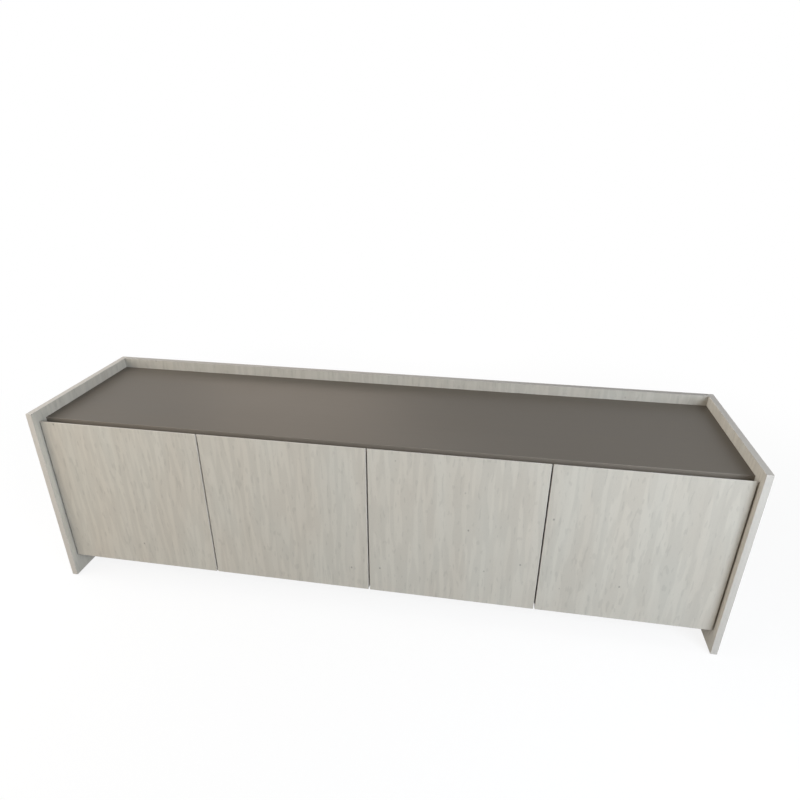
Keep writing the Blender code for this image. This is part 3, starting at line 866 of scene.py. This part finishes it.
def plate_grids(node, side):
    """A rib and two wings on the carcass, facing into the bay, with a screw on each wing."""
    low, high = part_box(node)
    foot = np.array(middle_of(node))
    foot[0] = low.x if side > 0 else high.x
    facing = np.array((side, 0.0, 0.0))
    rib = plate(high.y - low.y, RIB_WIDTH, high.x - low.x, RIB_CORNER, RIB_EDGE)
    wings = plate(WING_WIDTH, high.z - low.z, WING_THICKNESS, WING_CORNER, WING_EDGE)
    screws = foot + facing * WING_THICKNESS + np.outer((-PLATE_SCREW_REACH, PLATE_SCREW_REACH), UP)
    return [placed(rib, foot, facing), placed(wings, foot, facing), placed(PLATE_SCREW, screws, facing)]


for door in DOORS:
    plates = [f"{door}_{level}_hinge_plate" for level in LEVELS]
    side = bay_side(f"{door}_lower_hinge_cup", hinge_axis[door])
    grids = [grid for node in plates for grid in plate_grids(node, side)]
    add_piece(f"{door}_hinge_plates", grids, "cabinet", ZINC, plates)

# %% [markdown]
# ## Shelf pins
#
# A shelf rests on four steel pins pushed into holes in the boards. Each has a thin collar that stops it at
# the face of the board and a slightly domed end. It is a profile turned round the pin's own line.

# %% Shelf pins
SHELF_PIN_SEAT = 0.0075
SHELF_PIN_DOME = 0.0004
SHELF_PIN_RADII = (0.0003, 0.0001, 0.0002, 0.0002, 0.0003, 0.0012)
PIN_COLLAR_RADIUS = 0.0042
PIN_COLLAR_THICKNESS = 0.0005


def shelf_pin(radius, length):
    """A rod with a domed end and a thin collar where it leaves the board."""
    collar = SHELF_PIN_SEAT + PIN_COLLAR_THICKNESS
    corners = [
        (0, 0), (radius, 0), (radius, SHELF_PIN_SEAT), (PIN_COLLAR_RADIUS, SHELF_PIN_SEAT),
        (PIN_COLLAR_RADIUS, collar), (radius, collar), (radius, length - SHELF_PIN_DOME), (0, length),
    ]
    return turned(eased(corners, SHELF_PIN_RADII), columns=32)


def pin_grid(node, shelf):
    """A pin that starts in the board and points to the shelf."""
    low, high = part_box(node)
    side = math.copysign(1.0, middle_of(shelf).x - middle_of(node).x)
    start = np.array(middle_of(node))
    start[0] = low.x if side > 0 else high.x
    return placed(shelf_pin((high.z - low.z) / 2, high.x - low.x), start, (side, 0.0, 0.0))


for hand in HANDS:
    pins = sorted(node for node in frame["nodes"] if node.startswith(f"{hand}_shelf_pin"))
    grids = [pin_grid(node, f"{hand}_shelf") for node in pins]
    add_piece(f"{hand}_shelf_pins", grids, "cabinet", NICKEL, pins)

# %% [markdown]
# ## Cable grommets
#
# A moulded ring lines the hole in each back panel, so that no lead chafes on the hardboard. Its flange
# slopes down to a thin outer edge and rises to a bead round the opening. The whole ring is one closed
# profile turned round the hole's axis.

# %% Cable grommets
GROMMET_WALL = 0.0025
SLEEVE_RADIUS = 0.0297
FLANGE_THICKNESS = 0.0020
FLANGE_EDGE = 0.0009
BEAD_WIDTH = 0.0024
BEAD_FOOT_WIDTH = 0.0034
BEAD_FOOT = 0.0013
GROMMET_RADII = (0.0003, 0.0001, 0.0002, 0.0006, 0.0005, 0.0008, 0.0010)


def grommet_ring(flange, length):
    """The closed profile: sleeve, flange with a thin edge, bead at the mouth and back down the bore."""
    bore = SLEEVE_RADIUS - GROMMET_WALL
    seat = length - FLANGE_THICKNESS
    corners = [
        (bore, 0), (SLEEVE_RADIUS, 0), (SLEEVE_RADIUS, seat),
        (flange, seat), (flange, seat + FLANGE_EDGE), (bore + BEAD_FOOT_WIDTH, seat + BEAD_FOOT),
        (bore + BEAD_WIDTH, length), (bore, length), (bore, 0),
    ]
    return turned(eased(corners, GROMMET_RADII), columns=112)


for hand in HANDS:
    node = f"{hand}_cable_grommet"
    low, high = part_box(node)
    start = np.array(middle_of(node))
    start[1] = low.y
    ring = placed(grommet_ring((high.x - low.x) / 2, high.y - low.y), start, NORTH)
    add_piece(f"{hand}_grommet_ring", [ring], "cabinet", BLACK_PLASTIC, [node])

# %% [markdown]
# ## The leg
#
# A long bottom sags, so a moulded leg stands under its middle. It is screwed up through a round plate, and
# a fluted collar turns on a thread to set its height. The leg could be put together from cylinders, but
# one profile turned round gives it in one go, and the flutes are a wave on its radius, only between two
# heights.

# %% The leg under the middle
LEG_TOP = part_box("centre_leg")[1].z
LEG_PLATE_RADIUS = 0.0300
LEG_PLATE_THICKNESS = 0.0050
LEG_PLATE_FOOT = LEG_TOP - LEG_PLATE_THICKNESS
LEG_COLLAR_RADIUS = 0.0205
LEG_COLLAR_FOOT = 0.0140
LEG_COLLAR_TOP = 0.0270
LEG_COLLAR_ROWS = 6
LEG_EDGE = 0.0008
LEG_PROFILE = [
    (0, 0), (0.0240, 0), (0.0260, 0.0020), (0.0260, 0.0100), (0.0245, 0.0120),
    (LEG_COLLAR_RADIUS, 0.0128), (LEG_COLLAR_RADIUS, 0.0282), (0.0180, 0.0295), (0.0174, 0.0600),
    (0.0195, LEG_PLATE_FOOT), (LEG_PLATE_RADIUS, LEG_PLATE_FOOT),
    (LEG_PLATE_RADIUS, LEG_TOP), (0, LEG_TOP),
]
FLUTES = 30
FLUTE_STEPS = 6
FLUTE_DEPTH = 0.07
LEG_SCREW = screw_head(radius=0.0030, height=0.0012)
LEG_SCREW_RADIUS = 0.0248
LEG_SCREW_ANGLES = np.radians((45, 135, 225, 315))


def fluted_leg():
    """The turned leg, with its radius times 1 - depth (1 - cos(flutes * a)) / 2 on the collar."""
    profile = eased(LEG_PROFILE, LEG_EDGE)
    heights = np.linspace(LEG_COLLAR_FOOT, LEG_COLLAR_TOP, LEG_COLLAR_ROWS)
    collar = np.stack([np.full_like(heights, LEG_COLLAR_RADIUS), heights], -1)
    split = np.searchsorted(profile[:, 1] > LEG_COLLAR_FOOT, True)
    columns = FLUTE_STEPS * FLUTES
    grid = turned(np.concatenate([profile[:split], collar, profile[split:]]), columns)
    angle = np.linspace(0.0, 2 * np.pi, columns, endpoint=False)
    fluted = (grid[:, 0, 2] > LEG_COLLAR_FOOT - MERGE) & (grid[:, 0, 2] < LEG_COLLAR_TOP + MERGE)
    wave = 1 - FLUTE_DEPTH * (1 - np.cos(FLUTES * angle)) / 2
    grid[fluted, :, :2] *= wave[:, None]
    return grid


around = np.stack([np.cos(LEG_SCREW_ANGLES), np.sin(LEG_SCREW_ANGLES), 0 * LEG_SCREW_ANGLES], -1)
leg_screws = around * LEG_SCREW_RADIUS + UP * LEG_PLATE_FOOT
leg_grids = [fluted_leg()[None], placed(LEG_SCREW, leg_screws, -UP)]
add_piece("fluted_leg", leg_grids, "cabinet", BLACK_PLASTIC, ["centre_leg"])

# %% [markdown]
# ## The glides
#
# Under each side panel sit two small nailed glides, which keep the board's cut edge off the floor. Each is
# a low disc whose rim slopes in to a smaller tread. A plain disc would look sharp where it meets the floor,
# so the profile has one more corner, and it is turned once and set down four times.

# %% Floor glides
GLIDE_SLOPE = 0.0014
GLIDE_RIM = 0.0011
GLIDE_EDGE = 0.0006


def glide_disc(radius, thickness):
    """A turned disc: tread, sloping rim, upright side and flat top."""
    corners = [(0, 0), (radius - GLIDE_SLOPE, 0), (radius, GLIDE_RIM), (radius, thickness), (0, thickness)]
    return turned(eased(corners, GLIDE_EDGE))


glide_nodes = sorted(node for node in frame["nodes"] if node.endswith("_glide"))
low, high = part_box(glide_nodes[0])
glide_places = [middle_of(node) * Vector((1, 1, 0)) for node in glide_nodes]
glides = placed(glide_disc((high.x - low.x) / 2, high.z - low.z), glide_places, UP)
add_piece("floor_glides", [glides], "cabinet", GREY_PLASTIC, glide_nodes)

# %% [markdown]
# ## Screws in the back and under the top
#
# Screws hold the hardboard to the bottom's rear edge and to the partition, and two more hold each catch
# under the top. None of them shows with the doors closed, but they are what one sees on opening the cabinet
# or turning it round. Their places are counted off along the boards that they go into, so they follow the
# solids.

# %% Back and catch screws
BACK_SCREW = screw_head(radius=0.0036, height=0.0012)
BACK_SCREW_INSET = 0.045
EDGE_SCREWS = 7
POST_SCREWS = 4
POST_SCREW_RISE = 0.075
POST_SCREW_SIDE = 0.0048
CATCH_SCREW = screw_head(radius=0.0026, height=0.0010)
CATCH_SCREW_SETBACK = 0.009
CATCH_SCREW_SHIFTS = (-0.022, 0.022)


def back_screws(node):
    """A row along the bottom's rear edge and a column on the partition."""
    low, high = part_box(node)
    row = np.linspace(low.x + BACK_SCREW_INSET, high.x - BACK_SCREW_INSET, EDGE_SCREWS)
    post = np.linspace(low.z + POST_SCREW_RISE, high.z - BACK_SCREW_INSET, POST_SCREWS)
    edge = [(x, high.y, middle_of("bottom_panel").z) for x in row]
    column = [(math.copysign(POST_SCREW_SIDE, middle_of(node).x), high.y, z) for z in post]
    return edge + column


def catch_screws(node):
    """Two places side by side on the underside of a catch."""
    low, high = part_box(node)
    depth = high.y - CATCH_SCREW_SETBACK
    return [(middle_of(node).x + shift, depth, low.z) for shift in CATCH_SCREW_SHIFTS]


back_places = [place for hand in HANDS for place in back_screws(f"{hand}_back_panel")]
add_piece("back_screws", [placed(BACK_SCREW, back_places, NORTH)], "cabinet", ZINC)
catch_places = [place for hand in HANDS for place in catch_screws(f"{hand}_magnetic_catch")]
add_piece("catch_screws", [placed(CATCH_SCREW, catch_places, -UP)], "cabinet", ZINC)

# %% [markdown]
# ## Caps over the cam locks
#
# Such boards are drawn together by cam locks, which are turned in round holes in the undersides of the
# bottom and the top. A thin moulded cap hides each hole. Only the cap shows, so only the cap is made:
# a flat dome, turned once and set down facing the floor.

# %% Cam caps
CAP_RADIUS = 0.0085
CAP_RIM = 0.0005
CAP_CROWN = (0.0050, 0.0011)
CAP_HEIGHT = 0.0012
CAP_EDGE = 0.0004
CAP_INSET = 0.034
CAP_DEPTHS = (-0.14, 0.14)


def under(node, across):
    """Places on the underside of a board: every x of across, at both depths."""
    return [(x, y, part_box(node)[0].z) for x in across for y in CAP_DEPTHS]


cap_profile = [(0, 0), (CAP_RADIUS, 0), (CAP_RADIUS, CAP_RIM), CAP_CROWN, (0, CAP_HEIGHT)]
cap = turned(eased(cap_profile, CAP_EDGE))
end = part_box("right_side_panel")[0].x - CAP_INSET
cap_places = under("bottom_panel", (-end, 0.0, end))
cap_places += under("top_panel", (-end, -CAP_INSET, CAP_INSET, end))
add_piece("cam_caps", [placed(cap, cap_places, -UP)], "cabinet", GREY_PLASTIC)

# %% [markdown]
# ## Door bumpers
#
# A soft stud on the rear of each door, at its free lower corner, meets the bottom's edge, so that the door
# shuts without a knock. It is a small turned dome like the caps, but it rides on its door.

# %% Door bumpers
BUMPER_RADIUS = 0.0040
BUMPER_RIM = 0.0010
BUMPER_CROWN = 0.0028
BUMPER_HEIGHT = 0.0034
BUMPER_EDGE = 0.0012
BUMPER_INSET = 0.030

bumper_profile = [
    (0, 0), (BUMPER_RADIUS, 0), (BUMPER_RADIUS, BUMPER_RIM),
    (BUMPER_CROWN, BUMPER_HEIGHT), (0, BUMPER_HEIGHT),
]
bumper = turned(eased(bumper_profile, BUMPER_EDGE))
for door in DOORS:
    low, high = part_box(f"{door}_panel")
    side = bay_side(f"{door}_lower_hinge_cup", hinge_axis[door])
    free = (high.x if side > 0 else low.x) - side * BUMPER_INSET
    place = (free, high.y, middle_of("bottom_panel").z)
    add_piece(f"{door}_bumper", [placed(bumper, place, NORTH)], door, GREY_PLASTIC)

# %% [markdown]
# ## Floor and surroundings
#
# The cabinet stands on a plain white ground. A lamp strong enough to burn the floor out to white would burn
# the doors as well, so the ground looks white to the camera by itself: camera, mirror and glass rays meet
# an even white with a little of the lit floor mixed in, which keeps the shadow under the cabinet and fades
# out with the distance, so that no horizon shows. All other rays meet an ordinary floor and an even sky.

# %% Floor and sky
FLOOR_REACH = 40.0
FLOOR_COLOUR = colour(0.060, 0.059, 0.056)
SHADOW_SHARE = 0.14
SHADOW_REACH = 1.6
SKY_COLOUR = colour(1.0, 0.99, 0.97)
SKY_STRENGTH = 0.08
WHITE = colour(1.0, 1.0, 1.0)


def seen_directly(tree):
    """1 for rays from the camera, a mirror or glass, 0 for the rays that light the object."""
    path = Wire(tree).node("ShaderNodeLightPath", {}, {}, "Is Camera Ray")
    return path.most(path.twin("Is Glossy Ray")).most(path.twin("Is Transmission Ray"))


def white_floor():
    """A wide sheet at floor height: lit floor and even white, mixed by the kind of ray and the distance."""
    corners = [(x * FLOOR_REACH, y * FLOOR_REACH, 0.0) for x, y in ((-1, -1), (1, -1), (1, 1), (-1, 1))]
    mesh = bpy.data.meshes.new("floor")
    mesh.from_pydata(corners, [], [(0, 1, 2, 3)])
    floor = bpy.data.objects.new("floor", mesh)
    bpy.context.scene.collection.objects.link(floor)
    material = bpy.data.materials.new("white_ground")
    material.use_nodes = True
    tree = material.node_tree
    tree.nodes.remove(tree.nodes["Principled BSDF"])
    direct = seen_directly(tree)
    place = direct.node("ShaderNodeTexCoord", {}, {}, "Object")
    radius = place.node("ShaderNodeVectorMath", {"operation": "LENGTH"}, {0: place}, "Value")
    shadow = SHADOW_SHARE * (1 - radius.step(size.x / 2, size.x / 2 + SHADOW_REACH))
    lit = place.node("ShaderNodeBsdfDiffuse", {}, {"Color": direct.mix(FLOOR_COLOUR, WHITE)})
    even = place.node("ShaderNodeEmission", {}, {"Color": WHITE, "Strength": 1.0})
    mixed = place.node("ShaderNodeMixShader", {}, {0: direct * (1 - shadow), 1: lit, 2: even})
    tree.links.new(mixed.socket, tree.nodes["Material Output"].inputs["Surface"])
    mesh.materials.append(material)


def even_sky():
    """White to the camera, and a weaker even light to everything else."""
    world = bpy.data.worlds.new("even_sky")
    world.use_nodes = True
    bpy.context.scene.world = world
    tree = world.node_tree
    tree.nodes.remove(tree.nodes["Background"])
    fill = Wire(tree).node("ShaderNodeBackground", {}, {"Color": SKY_COLOUR, "Strength": SKY_STRENGTH})
    even = Wire(tree).node("ShaderNodeBackground", {}, {"Color": WHITE, "Strength": 1.0})
    mixed = fill.node("ShaderNodeMixShader", {}, {0: seen_directly(tree), 1: fill, 2: even})
    tree.links.new(mixed.socket, tree.nodes["World Output"].inputs["Surface"])


white_floor()
even_sky()
print("floor and sky ready")

# %% [markdown]
# ## Lamps
#
# Soft lamps light the cabinet from every side. A cool one stands in front on the right and a warm one in
# front on the left, so the doors change slowly from warm to cool along the front. One hangs high on the
# left, and one stands at each end. A small warm one behind is mirrored softly in the satin top, and a low
# one lights the back. One bright lamp would be simpler, but it would leave hard shadows and one even tint.
# All are far enough away to fall off slowly, and weak enough that a white card on a door would just be
# white.

# %% Soft lamps
LAMP_TARGET = Vector((0.0, 0.0, 0.35))


def soft_lamp(name, place, width, power, tint):
    """A square lamp that faces the cabinet: its width in metres, its power in watts."""
    data = bpy.data.lights.new(name, "AREA")
    data.size = width
    data.energy = power
    data.color = tint
    lamp = bpy.data.objects.new(name, data)
    lamp.location = place
    lamp.rotation_euler = (LAMP_TARGET - Vector(place)).to_track_quat("-Z", "Y").to_euler()
    lamp.visible_camera = False
    bpy.context.scene.collection.objects.link(lamp)


soft_lamp("cool_right", place=(2.15, -2.15, 1.52), width=1.7, power=88.0, tint=(0.825, 0.900, 1.0))
soft_lamp("warm_left", place=(-2.4, -1.85, 1.55), width=2.4, power=59.0, tint=(1.0, 0.890, 0.765))
soft_lamp("high_left", place=(-2.3, 0.2, 2.1), width=1.8, power=17.0, tint=(0.96, 0.97, 1.0))
soft_lamp("satin_behind", place=(-0.8, 1.7, 1.6), width=1.2, power=5.6, tint=(1.0, 0.82, 0.66))
soft_lamp("side_left", place=(-3.6, -0.55, 1.4), width=1.8, power=36.0, tint=(0.80, 0.90, 1.0))
soft_lamp("side_right", place=(3.2, -0.5, 0.45), width=0.6, power=19.0, tint=(1.0, 0.985, 0.93))
soft_lamp("low_behind", place=(0.0, 3.0, 0.5), width=0.8, power=24.0, tint=(1.0, 0.99, 0.97))
